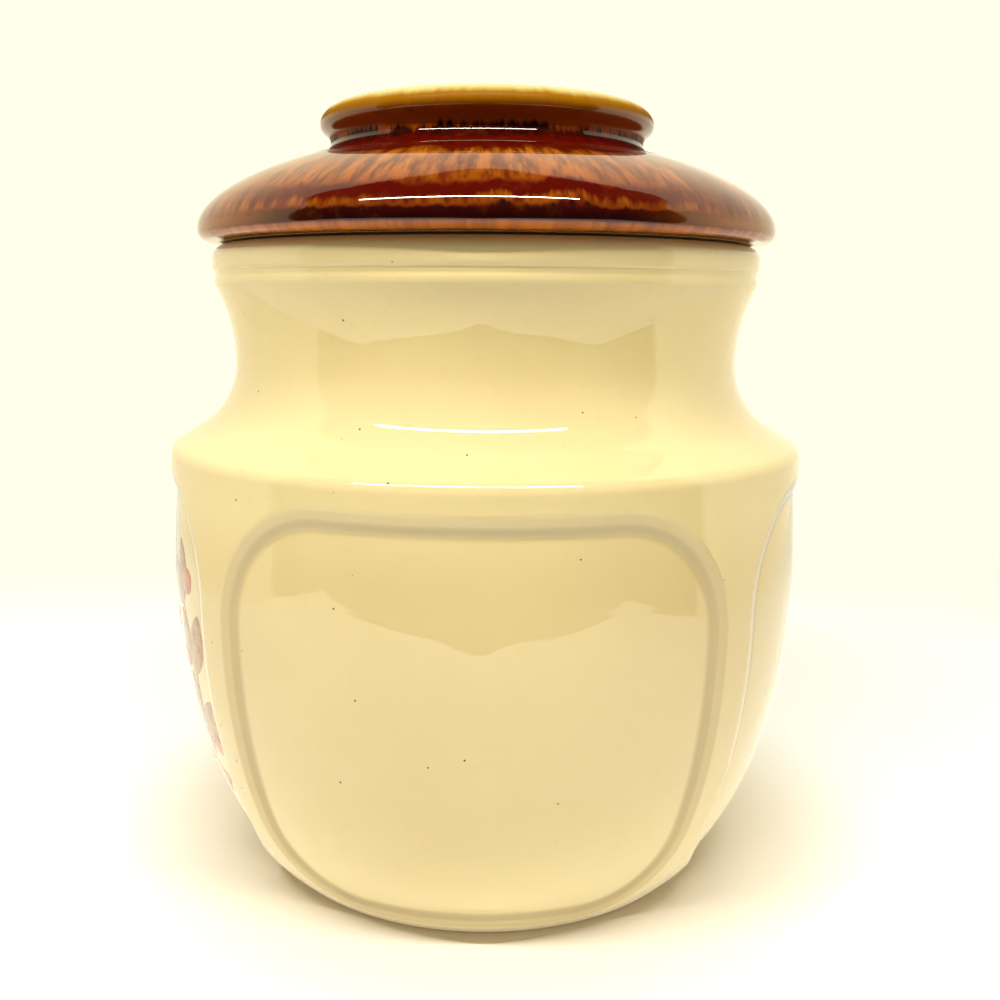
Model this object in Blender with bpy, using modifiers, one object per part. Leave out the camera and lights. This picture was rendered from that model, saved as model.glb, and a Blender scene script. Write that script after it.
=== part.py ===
"""A glazed stoneware cookie jar with a lift-off lid.

Two slip-cast pieces. The jar stands on a bare foot ring. Its bowl-shaped body has four sunk panels with
coved borders, then a sloping shoulder, a waisted neck and a banded rim. The lid is a low dome with a wide
disc knob, hollow below, and a locating ring under it drops into the jar's mouth.

Units are metres and +Z is up. The origin is at the middle of the foot, on the table. The panels face +X,
+Y, -X and -Y.
"""

import math

import bmesh
import bpy
from mathutils import Vector
from mathutils.geometry import interpolate_bezier

MM = 0.001
QUARTER_TURN = math.pi / 2

# Facets round every turned surface
TURN_STEPS = 64
MERGE_DISTANCE = 0.05 * MM

# Foot of the jar
FOOT_EDGE_RADIUS = 73.2 * MM
FOOT_EDGE_HEIGHT = 1.6 * MM
FOOT_CHAMFER = 1.8 * MM
FOOT_RING_WIDTH = 7.5 * MM
FOOT_RECESS_DEPTH = 2.6 * MM
FOOT_RECESS_DRAFT = 1.6 * MM

# Body of the jar, widest at the belly
BELLY_RADIUS = 102.2 * MM
BELLY_HEIGHT = 93.0 * MM
BELLY_ROUND_UP = 14.0 * MM
BOWL_FULLNESS = 45.0 * MM
FOOT_FLARE = 18.0 * MM
FOOT_FLARE_ANGLE = math.radians(41.0)
SHOULDER_RADIUS = 100.1 * MM
SHOULDER_HEIGHT = 132.8 * MM
SHOULDER_LEAN = math.radians(1.5)
SHOULDER_LEAN_RUN = 12.0 * MM
SHOULDER_EDGE_ROUND = 4.2 * MM
SHOULDER_SLOPE = math.radians(31.0)

# Neck and rim of the jar
NECK_RADIUS = 79.5 * MM
NECK_SWEEP = 24.0 * MM
FLARE_SWEEP = 50.0 * MM
FLARE_ANGLE = math.radians(26.3)
BEAD_HEIGHT = 3.0 * MM
BEAD_SWELL = 0.35 * MM
GROOVE_WIDTH = 1.4 * MM
GROOVE_DEPTH = 0.5 * MM
RIM_BAND_HEIGHT = 8.1 * MM
RIM_BAND_SWELL = 0.95 * MM
RIM_ROUND = 4.2 * MM
RIM_THICKNESS = 7.6 * MM
MOUTH_EDGE_ROUND = 1.8 * MM

# Inside of the jar
WALL_THICKNESS = 6.4 * MM
FLOOR_THICKNESS = 6.5 * MM
INNER_EDGE_ROUND = 3.0 * MM
FLOOR_CORNER_HEIGHT = 16.0 * MM
FLOOR_CORNER_RUN = 26.0 * MM

# Sunk panels, with the pillars that are left between them
PANEL_COUNT = 4
PILLAR_WIDTH = 9.6 * MM
PANEL_TOP_MARGIN = 4.5 * MM
PANEL_FOOT_MARGIN = 3.0 * MM
PANEL_TOP_CORNER = 35.3 * MM
PANEL_FOOT_CORNER = 33.0 * MM
PANEL_DEPTH = 2.0 * MM
PANEL_TOP_DEPTH = 1.6 * MM
PANEL_DEPTH_RUN = 26.0 * MM
COVE_WIDTH = 5.2 * MM
COVE_KNEE = 0.55
COVE_KNEE_DEPTH = 0.35
CORNER_FACETS = 6
SIDE_FACETS = 8
TOP_FACETS = 8
FOOT_FACETS = 8
FLOOR_RINGS = 5
PUNCH_REACH = 2.5
PUNCH_OVERRUN = 1.7 * MM

# Lid, from its seat on the rim up to the knob
SEAT_GAP = 0.3 * MM
LID_OVERHANG = 4.05 * MM
LIP_RELIEF = 0.6 * MM
LIP_ROUND = 3.3 * MM
DOME_RISE = 23.8 * MM
DOME_SIDE_FULLNESS = 9.4 * MM
DOME_TOP_FULLNESS = 23.0 * MM
DOME_TOP_ANGLE = math.radians(13.0)
LID_THICKNESS = 5.6 * MM
LOCATING_RING_DEPTH = 8.0 * MM
LOCATING_RING_WIDTH = 4.6 * MM
LOCATING_CLEARANCE = 1.5 * MM
LOCATING_RELIEF = 2.0 * MM
LOCATING_ROUND = 1.2 * MM

# Knob
KNOB_NECK_RADIUS = 48.8 * MM
KNOB_NECK_HEIGHT = 3.4 * MM
KNOB_SWELL = 3.2 * MM
KNOB_FLARE_HEIGHT = 5.2 * MM
KNOB_EDGE_HEIGHT = 5.0 * MM
KNOB_EDGE_RUN = 5.6 * MM
KNOB_DISH_DEPTH = 0.8 * MM

# Edges that turn more sharply than this are shaded as edges
SHARP_ANGLE = math.radians(40.0)


def point(radius, height):
    """A point of a turned profile, which lies in the plane y = 0."""
    return Vector((radius, 0.0, height))


def arc(centre, radius, start, end, count):
    """Points on an arc of a profile, both ends included, with the angles measured from +X towards +Z."""
    points = []
    for i in range(count + 1):
        angle = start + (end - start) * i / count
        points.append(centre + point(radius * math.cos(angle), radius * math.sin(angle)))
    return points


def curve(start, start_handle, end_handle, end, count):
    """Points on a Bezier curve of a profile, both ends included."""
    return interpolate_bezier(start, start_handle, end_handle, end, count + 1)


def joined(*runs):
    """One list of points from several runs, without the points that two runs share."""
    points = []
    for run in runs:
        for p in run:
            if not points or (p - points[-1]).length > MERGE_DISTANCE:
                points.append(p)
    return points


# The heights of the jar follow from its sizes. The slope of the shoulder is a straight line that touches
# the shoulder's edge round below and the sweep of the neck above.
SLOPE_TURN = QUARTER_TURN - SHOULDER_SLOPE
SLOPE_FOOT = point(
    SHOULDER_RADIUS - SHOULDER_EDGE_ROUND * (1 - math.cos(SLOPE_TURN)),
    SHOULDER_HEIGHT + SHOULDER_EDGE_ROUND * math.sin(SLOPE_TURN),
)
SLOPE_HEAD_RADIUS = NECK_RADIUS + NECK_SWEEP * (1 - math.cos(SLOPE_TURN))
SLOPE_RISE = (SLOPE_FOOT.x - SLOPE_HEAD_RADIUS) * math.tan(SHOULDER_SLOPE)
NECK_HEIGHT = SLOPE_FOOT.z + SLOPE_RISE + NECK_SWEEP * math.sin(SLOPE_TURN)
FLARE_TOP = point(
    NECK_RADIUS + FLARE_SWEEP * (1 - math.cos(FLARE_ANGLE)),
    NECK_HEIGHT + FLARE_SWEEP * math.sin(FLARE_ANGLE),
)
BAND_FOOT_HEIGHT = FLARE_TOP.z + BEAD_HEIGHT + GROOVE_WIDTH
RIM_HEIGHT = BAND_FOOT_HEIGHT + RIM_BAND_HEIGHT
BAND_RADIUS = FLARE_TOP.x + RIM_BAND_SWELL
MOUTH_RADIUS = BAND_RADIUS - RIM_THICKNESS
FLOOR_HEIGHT = FOOT_RECESS_DEPTH + FLOOR_THICKNESS
SEAT_HEIGHT = RIM_HEIGHT + SEAT_GAP


def body_wall():
    """The outer wall of the body, from the widest ring of the shoulder down to the edge of the foot."""
    shoulder = point(SHOULDER_RADIUS, SHOULDER_HEIGHT)
    lean = point(math.sin(SHOULDER_LEAN), -math.cos(SHOULDER_LEAN)) * SHOULDER_LEAN_RUN
    belly = point(BELLY_RADIUS, BELLY_HEIGHT)
    foot = point(FOOT_EDGE_RADIUS, FOOT_EDGE_HEIGHT)
    flare = point(math.cos(FOOT_FLARE_ANGLE), math.sin(FOOT_FLARE_ANGLE)) * FOOT_FLARE
    upper = curve(shoulder, shoulder + lean, belly + point(0, BELLY_ROUND_UP), belly, 4)
    lower = curve(belly, belly - point(0, BOWL_FULLNESS), foot + flare, foot, 10)
    return joined(upper, lower)


BODY_WALL = body_wall()


def wall_length():
    """The length of the body's wall, from the shoulder down to the foot."""
    return sum((b - a).length for a, b in zip(BODY_WALL, BODY_WALL[1:]))


def on_wall(distance, depth):
    """The point at a distance down the body's wall from the shoulder, sunk into it by a depth.

    Above the shoulder and below the foot the wall runs straight on.
    """
    left = distance
    last = len(BODY_WALL) - 2
    for i in range(last + 1):
        step = BODY_WALL[i + 1] - BODY_WALL[i]
        if left <= step.length or i == last:
            way = step.normalized()
            return BODY_WALL[i] + way * left + Vector((way.z, 0.0, -way.x)) * depth
        left -= step.length


def panel_depth(distance):
    """How deep a panel lies at a distance down the wall: shallower next to its top."""
    share = min(max((distance - PANEL_TOP_MARGIN) / PANEL_DEPTH_RUN, 0.0), 1.0)
    return PANEL_TOP_DEPTH + (PANEL_DEPTH - PANEL_TOP_DEPTH) * share


def inner_wall():
    """The inside of the jar, from the middle of its floor up to the rim.

    The inner faces of the wall and of the shoulder's slope meet in a corner, which the edge rounds off.
    """
    inset = []
    step = wall_length() / 7
    for i in range(1, 8):
        p = on_wall(i * step, WALL_THICKNESS)
        if p.z > FLOOR_HEIGHT + FLOOR_CORNER_HEIGHT:
            inset.insert(0, p)
    heading = (inset[0] - inset[1]).normalized() * FLOOR_CORNER_HEIGHT / 2
    corner_end = point(inset[0].x - FLOOR_CORNER_RUN, FLOOR_HEIGHT)
    corner = curve(
        corner_end,
        corner_end + point(FLOOR_CORNER_RUN / 2, 0),
        inset[0] + heading,
        inset[0],
        4,
    )
    side = SHOULDER_RADIUS - WALL_THICKNESS
    fall = WALL_THICKNESS / math.cos(SHOULDER_SLOPE) - (SLOPE_FOOT.x - side) * math.tan(SHOULDER_SLOPE)
    edge_height = SLOPE_FOOT.z - fall - INNER_EDGE_ROUND * math.tan(SLOPE_TURN / 2)
    edge = arc(point(side - INNER_EDGE_ROUND, edge_height), INNER_EDGE_ROUND, 0, SLOPE_TURN, 2)
    neck_centre = point(NECK_RADIUS + NECK_SWEEP, NECK_HEIGHT)
    sweep = arc(neck_centre, NECK_SWEEP + WALL_THICKNESS, math.pi + SLOPE_TURN, math.pi, 4)
    bore_foot = point(MOUTH_RADIUS, RIM_HEIGHT - LOCATING_RING_DEPTH - LOCATING_RELIEF)
    rise = (bore_foot.z - NECK_HEIGHT) / 2
    flare = curve(sweep[-1], sweep[-1] + point(0, rise), bore_foot - point(0, rise), bore_foot, 4)
    return joined([point(0, FLOOR_HEIGHT)], corner, inset, edge, sweep, flare)


def rim():
    """The rim of the jar, over its top from the mouth, and down the band, the groove and the bead."""
    inner_centre = point(MOUTH_RADIUS + MOUTH_EDGE_ROUND, RIM_HEIGHT - MOUTH_EDGE_ROUND)
    outer_centre = point(BAND_RADIUS - RIM_ROUND, RIM_HEIGHT - RIM_ROUND)
    bead_top = point(FLARE_TOP.x + BEAD_SWELL / 2, FLARE_TOP.z + BEAD_HEIGHT)
    return joined(
        arc(inner_centre, MOUTH_EDGE_ROUND, math.pi, QUARTER_TURN, 2),
        arc(outer_centre, RIM_ROUND, QUARTER_TURN, 0, 4),
        [point(BAND_RADIUS - GROOVE_DEPTH / 2, BAND_FOOT_HEIGHT + GROOVE_WIDTH / 2)],
        [point(BAND_RADIUS - GROOVE_DEPTH, BAND_FOOT_HEIGHT)],
        [point(bead_top.x - GROOVE_DEPTH, bead_top.z + GROOVE_WIDTH / 2)],
        [bead_top],
        [point(FLARE_TOP.x + BEAD_SWELL, FLARE_TOP.z + BEAD_HEIGHT / 2)],
        [FLARE_TOP],
    )


def neck_and_shoulder():
    """The outside of the jar from the top of the flare down to the widest ring of the shoulder."""
    flare_centre = point(NECK_RADIUS + FLARE_SWEEP, NECK_HEIGHT)
    neck_centre = point(NECK_RADIUS + NECK_SWEEP, NECK_HEIGHT)
    edge_centre = point(SHOULDER_RADIUS - SHOULDER_EDGE_ROUND, SHOULDER_HEIGHT)
    return joined(
        arc(flare_centre, FLARE_SWEEP, math.pi - FLARE_ANGLE, math.pi, 4),
        arc(neck_centre, NECK_SWEEP, math.pi, math.pi + SLOPE_TURN, 5),
        arc(edge_centre, SHOULDER_EDGE_ROUND, SLOPE_TURN, 0, 4),
    )


def foot():
    """The underside of the jar: the chamfer, the bare foot ring and the recess inside it."""
    ring_outer = FOOT_EDGE_RADIUS - FOOT_CHAMFER
    ring_inner = ring_outer - FOOT_RING_WIDTH
    return [
        point(ring_outer, 0),
        point(ring_inner, 0),
        point(ring_inner - FOOT_RECESS_DRAFT, FOOT_RECESS_DEPTH),
        point(0, FOOT_RECESS_DEPTH),
    ]


def dome(thickness, count):
    """The dome of the lid from its widest ring up to the knob, or its underside at a thickness.

    Heights are above the seat.
    """
    side = point(BAND_RADIUS + LID_OVERHANG, LIP_RELIEF + LIP_ROUND)
    top = point(KNOB_NECK_RADIUS, side.z + DOME_RISE)
    slope = point(math.cos(DOME_TOP_ANGLE), -math.sin(DOME_TOP_ANGLE)) * DOME_TOP_FULLNESS
    outside = curve(side, side + point(0, DOME_SIDE_FULLNESS), top + slope, top, count)
    if thickness == 0:
        return outside
    inside = []
    for a, b in zip(outside, outside[1:]):
        way = (b - a).normalized()
        inside.append((a + b) / 2 + Vector((-way.z, 0.0, way.x)) * thickness)
    return inside


def lid_profile():
    """The profile of the lid, from the middle of the knob's top round to the middle of its hollow."""
    ring_outer = MOUTH_RADIUS - LOCATING_CLEARANCE
    ring_inner = ring_outer - LOCATING_RING_WIDTH
    lip_centre = point(BAND_RADIUS + LID_OVERHANG - LIP_ROUND, LIP_RELIEF + LIP_ROUND)
    neck_foot = lip_centre.z + DOME_RISE
    neck_top = neck_foot + KNOB_NECK_HEIGHT
    widest = point(KNOB_NECK_RADIUS + KNOB_SWELL, neck_top + KNOB_FLARE_HEIGHT)
    knob_top = widest.z + KNOB_EDGE_HEIGHT
    rim_of_knob = point(widest.x - KNOB_EDGE_RUN, knob_top)
    ceiling = knob_top - KNOB_DISH_DEPTH - LID_THICKNESS
    bore = KNOB_NECK_RADIUS - LID_THICKNESS
    under_dome = [p for p in dome(LID_THICKNESS, 7) if bore < p.x < ring_inner]
    underside = joined(
        [point(0, ceiling)],
        [point(bore - LID_THICKNESS, ceiling)],
        [point(bore, ceiling - LID_THICKNESS / 2)],
        [point(bore, neck_foot - LID_THICKNESS)],
        reversed(under_dome),
        [point(ring_inner, under_dome[0].z - LOCATING_ROUND)],
        [point(ring_inner, LOCATING_ROUND - LOCATING_RING_DEPTH)],
        [point(ring_inner + LOCATING_ROUND, -LOCATING_RING_DEPTH)],
        [point(ring_outer - LOCATING_ROUND, -LOCATING_RING_DEPTH)],
        [point(ring_outer, LOCATING_ROUND - LOCATING_RING_DEPTH)],
        [point(ring_outer, 0)],
    )
    outside = joined(
        arc(lip_centre, LIP_ROUND, -QUARTER_TURN, 0, 3),
        dome(0, 8),
        [point(KNOB_NECK_RADIUS, neck_top)],
        curve(
            point(KNOB_NECK_RADIUS, neck_top),
            point(KNOB_NECK_RADIUS, neck_top + KNOB_FLARE_HEIGHT / 2),
            widest - point(0, KNOB_FLARE_HEIGHT / 2),
            widest,
            3,
        ),
        curve(
            widest,
            widest + point(0, KNOB_EDGE_HEIGHT / 2),
            rim_of_knob + point(KNOB_EDGE_RUN / 2, 0),
            rim_of_knob,
            4,
        ),
        [point(rim_of_knob.x - KNOB_EDGE_RUN, knob_top - KNOB_DISH_DEPTH / 2)],
        [point(0, knob_top - KNOB_DISH_DEPTH)],
    )
    return joined(reversed(outside), reversed(underside))


def glaze(name, colour, roughness):
    """A plain coloured glaze or clay."""
    material = bpy.data.materials.new(name)
    material.use_nodes = True
    shader = material.node_tree.nodes["Principled BSDF"]
    shader.inputs["Base Color"].default_value = (*colour, 1.0)
    shader.inputs["Roughness"].default_value = roughness
    shader.inputs["Metallic"].default_value = 0.0
    material.diffuse_color = (*colour, 1.0)
    return material


def add_object(name, mesh, collection):
    """A new object of a mesh, in a collection."""
    piece = bpy.data.objects.new(name, mesh)
    collection.objects.link(piece)
    return piece


def turned(name, profile, collection):
    """A body of revolution about Z: a profile with a Screw modifier."""
    edges = [(i, i + 1) for i in range(len(profile) - 1)]
    mesh = bpy.data.meshes.new(name)
    mesh.from_pydata(profile, edges, [])
    piece = add_object(name, mesh, collection)
    screw = piece.modifiers.new("turn", "SCREW")
    screw.axis = "Z"
    screw.angle = math.tau
    screw.steps = TURN_STEPS
    screw.render_steps = TURN_STEPS
    screw.use_merge_vertices = True
    screw.merge_threshold = MERGE_DISTANCE
    screw.use_smooth_shade = True
    return piece


def panel_outline(inset):
    """The outline of a panel, as the distance round the belly and down the wall of each of its points.

    It is a rounded oblong, which inset draws in on all four sides.
    """
    half_width = BELLY_RADIUS * math.pi / PANEL_COUNT - PILLAR_WIDTH / 2 - inset
    top = PANEL_TOP_MARGIN + inset
    bottom = wall_length() - PANEL_FOOT_MARGIN - inset
    top_round = PANEL_TOP_CORNER - inset
    foot_round = PANEL_FOOT_CORNER - inset
    corners = [
        (half_width - top_round, top + top_round, top_round, SIDE_FACETS),
        (half_width - foot_round, bottom - foot_round, foot_round, FOOT_FACETS),
        (foot_round - half_width, bottom - foot_round, foot_round, SIDE_FACETS),
        (top_round - half_width, top + top_round, top_round, TOP_FACETS),
    ]
    points = []
    for i, (x, y, radius, run) in enumerate(corners):
        for j in range(CORNER_FACETS + 1):
            angle = QUARTER_TURN * (i - 1 + j / CORNER_FACETS)
            points.append(Vector((x + radius * math.cos(angle), y + radius * math.sin(angle))))
        x, y, radius, _ = corners[(i + 1) % 4]
        start = points[-1]
        end = Vector((x + radius * math.cos(QUARTER_TURN * i), y + radius * math.sin(QUARTER_TURN * i)))
        points.extend(start.lerp(end, j / run) for j in range(1, run))
    return points


def on_panel(spot, depth_share, reach, facing):
    """The place in space of a spot of a panel's outline, laid on the body's wall and sunk into it.

    reach draws it out from the axis.
    """
    p = on_wall(spot.y, panel_depth(spot.y) * depth_share)
    angle = facing + spot.x / BELLY_RADIUS
    return Vector((p.x * reach * math.cos(angle), p.x * reach * math.sin(angle), p.z))


def panel_loft():
    """The rings of a panel's punch, each as its spots, its share of the panel's depth and its reach.

    They run from the middle of the panel's floor, out over the cove of its border, and clear of the jar.
    """
    edge = panel_outline(COVE_WIDTH)
    middle = sum(edge, Vector((0.0, 0.0))) / len(edge)
    rings = [([middle.lerp(spot, i / FLOOR_RINGS) for spot in edge], 1, 1) for i in range(1, FLOOR_RINGS)]
    rings.append((edge, 1, 1))
    rings.append((panel_outline(COVE_WIDTH * COVE_KNEE), COVE_KNEE_DEPTH, 1))
    outer = panel_outline(-PUNCH_OVERRUN)
    rings.append((outer, -PUNCH_OVERRUN * COVE_KNEE_DEPTH / (COVE_WIDTH * COVE_KNEE), 1))
    rings.append((outer, 0, PUNCH_REACH))
    return middle, rings


def panel_punches(collection):
    """The four punches that press the panels: lofts from the floor of each panel out through the wall."""
    middle, rings = panel_loft()
    bm = bmesh.new()
    for i in range(PANEL_COUNT):
        facing = math.tau * i / PANEL_COUNT
        loft = []
        for spots, share, reach in rings:
            loft.append([bm.verts.new(on_panel(spot, share, reach, facing)) for spot in spots])
        inner = bm.verts.new(on_panel(middle, 1, 1, facing))
        outer = bm.verts.new(on_panel(middle, 0, PUNCH_REACH, facing))
        count = len(loft[0])
        for j in range(count):
            k = (j + 1) % count
            bm.faces.new((inner, loft[0][j], loft[0][k]))
            bm.faces.new((outer, loft[-1][k], loft[-1][j]))
            for low, high in zip(loft, loft[1:]):
                bm.faces.new((low[k], low[j], high[j], high[k]))
    mesh = bpy.data.meshes.new("panel_punches")
    bm.to_mesh(mesh)
    bm.free()
    return add_object("panel_punches", mesh, collection)


def settle(piece, material):
    """Applies a piece's modifiers, and gives it its material and smooth shading with sharp edges."""
    depsgraph = bpy.context.evaluated_depsgraph_get()
    mesh = bpy.data.meshes.new_from_object(piece.evaluated_get(depsgraph))
    piece.modifiers.clear()
    piece.data = mesh
    mesh.materials.clear()
    mesh.materials.append(material)
    mesh.shade_smooth()
    mesh.set_sharp_from_angle(angle=SHARP_ANGLE)


for old in list(bpy.data.objects):
    bpy.data.objects.remove(old)

scene = bpy.context.scene
parts = bpy.data.collections.new("cookie_jar")
moulds = bpy.data.collections.new("moulds")
scene.collection.children.link(parts)
scene.collection.children.link(moulds)

cream_glaze = glaze("cream_glaze", (0.80, 0.66, 0.40), 0.12)
brown_glaze = glaze("brown_glaze", (0.16, 0.035, 0.010), 0.08)

# The jar: a turned shell, with the four panels pressed into its wall
jar = turned("jar", joined(inner_wall(), rim(), neck_and_shoulder(), BODY_WALL, foot()), parts)
punches = panel_punches(moulds)
punches.hide_render = True
punches.display_type = "WIRE"
press = jar.modifiers.new("press", "BOOLEAN")
press.operation = "DIFFERENCE"
press.solver = "EXACT"
press.object = punches
settle(jar, cream_glaze)

# The lid: one turned piece, whose origin is on its lift axis at the height of its seat
lid = turned("lid", lid_profile(), parts)
lid.location = (0, 0, SEAT_HEIGHT)
settle(lid, brown_glaze)
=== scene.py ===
import math

import bpy
import bmesh
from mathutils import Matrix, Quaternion, Vector, noise
from mathutils.geometry import interpolate_bezier


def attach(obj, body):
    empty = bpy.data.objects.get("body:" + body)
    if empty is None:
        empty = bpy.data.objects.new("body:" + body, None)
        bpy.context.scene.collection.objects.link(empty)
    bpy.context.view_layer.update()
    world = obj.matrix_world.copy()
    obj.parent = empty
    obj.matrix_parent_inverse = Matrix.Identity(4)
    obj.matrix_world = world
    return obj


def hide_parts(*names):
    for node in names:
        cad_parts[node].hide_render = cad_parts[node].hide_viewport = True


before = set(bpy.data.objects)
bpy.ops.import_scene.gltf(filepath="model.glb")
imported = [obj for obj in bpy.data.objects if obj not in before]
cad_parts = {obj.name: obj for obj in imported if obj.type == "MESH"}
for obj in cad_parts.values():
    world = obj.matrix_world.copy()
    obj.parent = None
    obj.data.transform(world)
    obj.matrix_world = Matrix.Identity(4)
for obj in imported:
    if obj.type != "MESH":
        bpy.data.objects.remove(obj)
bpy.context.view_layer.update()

# The jar
# A slip-cast stoneware body, glazed cream inside and out over iron-specked clay, with four sunk panels
# whose borders are coved. It stands on a bare foot ring and carries the lid on its rim.
MM = 0.001
QUARTER_TURN = math.pi / 2
FOOT_EDGE_RADIUS = 73.2 * MM
FOOT_EDGE_HEIGHT = 1.6 * MM
FOOT_CHAMFER = 1.8 * MM
FOOT_RING_WIDTH = 7.5 * MM
FOOT_RECESS_DEPTH = 2.6 * MM
FOOT_FLARE = 18.0 * MM
FOOT_FLARE_ANGLE = math.radians(41.0)
BELLY_RADIUS = 102.2 * MM
BELLY_HEIGHT = 93.0 * MM
BELLY_ROUND_UP = 14.0 * MM
BOWL_FULLNESS = 45.0 * MM
SHOULDER_RADIUS = 100.1 * MM
SHOULDER_HEIGHT = 132.8 * MM
SHOULDER_LEAN = math.radians(1.5)
SHOULDER_LEAN_RUN = 12.0 * MM
SHOULDER_EDGE_ROUND = 4.2 * MM
SHOULDER_SLOPE = math.radians(31.0)
NECK_RADIUS = 79.5 * MM
NECK_SWEEP = 24.0 * MM
FLARE_SWEEP = 50.0 * MM
FLARE_ANGLE = math.radians(26.3)
BEAD_HEIGHT = 3.0 * MM
BEAD_SWELL = 0.35 * MM
GROOVE_WIDTH = 1.4 * MM
GROOVE_DEPTH = 0.5 * MM
RIM_BAND_HEIGHT = 8.1 * MM
RIM_BAND_SWELL = 0.95 * MM
RIM_ROUND = 4.2 * MM
RIM_THICKNESS = 7.6 * MM
MOUTH_EDGE_ROUND = 1.8 * MM
WALL = 6.4 * MM
FLOOR_HEIGHT = 9.1 * MM
FLOOR_CORNER_HEIGHT = 16.0 * MM
FLOOR_CORNER_RUN = 26.0 * MM
INNER_EDGE_ROUND = 3.0 * MM
BORE_DEPTH = 10.0 * MM
PANELS = 4
PILLAR_WIDTH = 9.6 * MM
PANEL_TOP_MARGIN = 4.5 * MM
PANEL_FOOT_MARGIN = 3.0 * MM
PANEL_TOP_CORNER = 35.3 * MM
PANEL_FOOT_CORNER = 33.0 * MM
PANEL_TOP_DEPTH = 1.6 * MM
PANEL_DEPTH = 2.0 * MM
PANEL_DEPTH_RUN = 26.0 * MM
COVE_WIDTH = 5.2 * MM
COVE_KNEE = 0.55
COVE_KNEE_DEPTH = 0.35
COVE_SOFTNESS = 0.03
POOL_SHADE_PLATEAU = 0.6
POOL_SHADE_RUN = 0.12
POOL_SHADE_FADE = 0.35
UNEVENNESS = 0.09 * MM
UNEVEN_SCALE = 26.0
WALL_STEP = 1.6 * MM
COVE_STEP = 0.6 * MM
SIDE_COVE_RUN = 32 * MM
TOP_COVE_RUN = 31 * MM
FOOT_COVE_RUN = 29 * MM
INSIDE_STEP = 3.5 * MM
OUTSIDE_STEP = 1.3 * MM


def point(radius, height):
    return Vector((radius, 0.0, height))


def arc(centre, radius, start, end, count):
    turns = [start + (end - start) * i / count for i in range(count + 1)]
    return [centre + point(radius * math.cos(t), radius * math.sin(t)) for t in turns]


def curve(start, start_handle, end_handle, end, count):
    return interpolate_bezier(start, start_handle, end_handle, end, count + 1)


def joined(*runs):
    points = []
    for run in runs:
        for p in run:
            if not points or (p - points[-1]).length > 0.02 * MM:
                points.append(p)
    return points


def resampled(points, step):
    """The same run of points with no gap wider than step."""
    fine = [points[0]]
    for a, b in zip(points, points[1:]):
        count = max(1, math.ceil((b - a).length / step))
        fine.extend(a.lerp(b, i / count) for i in range(1, count + 1))
    return fine


slope_turn = QUARTER_TURN - SHOULDER_SLOPE
slope_foot = point(
    SHOULDER_RADIUS - SHOULDER_EDGE_ROUND * (1 - math.cos(slope_turn)),
    SHOULDER_HEIGHT + SHOULDER_EDGE_ROUND * math.sin(slope_turn),
)
slope_head = NECK_RADIUS + NECK_SWEEP * (1 - math.cos(slope_turn))
slope_rise = (slope_foot.x - slope_head) * math.tan(SHOULDER_SLOPE)
neck_height = slope_foot.z + slope_rise + NECK_SWEEP * math.sin(slope_turn)
flare_top = point(
    NECK_RADIUS + FLARE_SWEEP * (1 - math.cos(FLARE_ANGLE)),
    neck_height + FLARE_SWEEP * math.sin(FLARE_ANGLE),
)
band_foot = flare_top.z + BEAD_HEIGHT + GROOVE_WIDTH
rim_height = band_foot + RIM_BAND_HEIGHT
band_radius = flare_top.x + RIM_BAND_SWELL
mouth_radius = band_radius - RIM_THICKNESS
shoulder = point(SHOULDER_RADIUS, SHOULDER_HEIGHT)
belly = point(BELLY_RADIUS, BELLY_HEIGHT)
foot_edge = point(FOOT_EDGE_RADIUS, FOOT_EDGE_HEIGHT)
lean = point(math.sin(SHOULDER_LEAN), -math.cos(SHOULDER_LEAN)) * SHOULDER_LEAN_RUN
flare = point(math.cos(FOOT_FLARE_ANGLE), math.sin(FOOT_FLARE_ANGLE)) * FOOT_FLARE
body_wall = joined(
    curve(shoulder, shoulder + lean, belly + point(0, BELLY_ROUND_UP), belly, 40),
    curve(belly, belly - point(0, BOWL_FULLNESS), foot_edge + flare, foot_edge, 100),
)
wall_steps = [(b - a).length for a, b in zip(body_wall, body_wall[1:])]
wall_length = sum(wall_steps)


def on_wall(down):
    """The point at a distance down the body's wall from the shoulder, and the outward direction there."""
    left = down
    for i, step in enumerate(wall_steps):
        if left <= step or i == len(wall_steps) - 1:
            way = (body_wall[i + 1] - body_wall[i]).normalized()
            return body_wall[i] + way * left, Vector((-way.z, 0.0, way.x))
        left -= step


def knee(share):
    """How much of a panel's depth is reached at a share of its border's width: little, then the rest."""
    if share < COVE_KNEE:
        return max(share, 0.0) * COVE_KNEE_DEPTH / COVE_KNEE
    return min(COVE_KNEE_DEPTH + (share - COVE_KNEE) * (1 - COVE_KNEE_DEPTH) / (1 - COVE_KNEE), 1.0)


def border_share(across, down):
    """How far a spot lies inside a panel's outline, as a share of its border's width.

    The spot is a distance round the belly and one down the wall, and a panel is a rounded oblong.
    """
    bottom = wall_length - PANEL_FOOT_MARGIN
    middle = (PANEL_TOP_MARGIN + bottom) / 2
    corner = PANEL_TOP_CORNER if down < middle else PANEL_FOOT_CORNER
    x = abs(across) - (BELLY_RADIUS * math.pi / PANELS - PILLAR_WIDTH / 2 - corner)
    y = abs(down - middle) - ((bottom - PANEL_TOP_MARGIN) / 2 - corner)
    inside = corner - math.hypot(max(x, 0.0), max(y, 0.0)) - min(max(x, y), 0.0)
    return inside / COVE_WIDTH


def panel_sink(across, down):
    """How deep the wall is sunk at a spot. The glaze softens the corners of a border's profile."""
    share = border_share(across, down)
    if share < -0.2:
        return 0.0
    fall = sum(knee(share + COVE_SOFTNESS * i) for i in range(-3, 4)) / 7
    run = min(max((down - PANEL_TOP_MARGIN) / PANEL_DEPTH_RUN, 0.0), 1.0)
    return fall * (PANEL_TOP_DEPTH + (PANEL_DEPTH - PANEL_TOP_DEPTH) * run)


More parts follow.
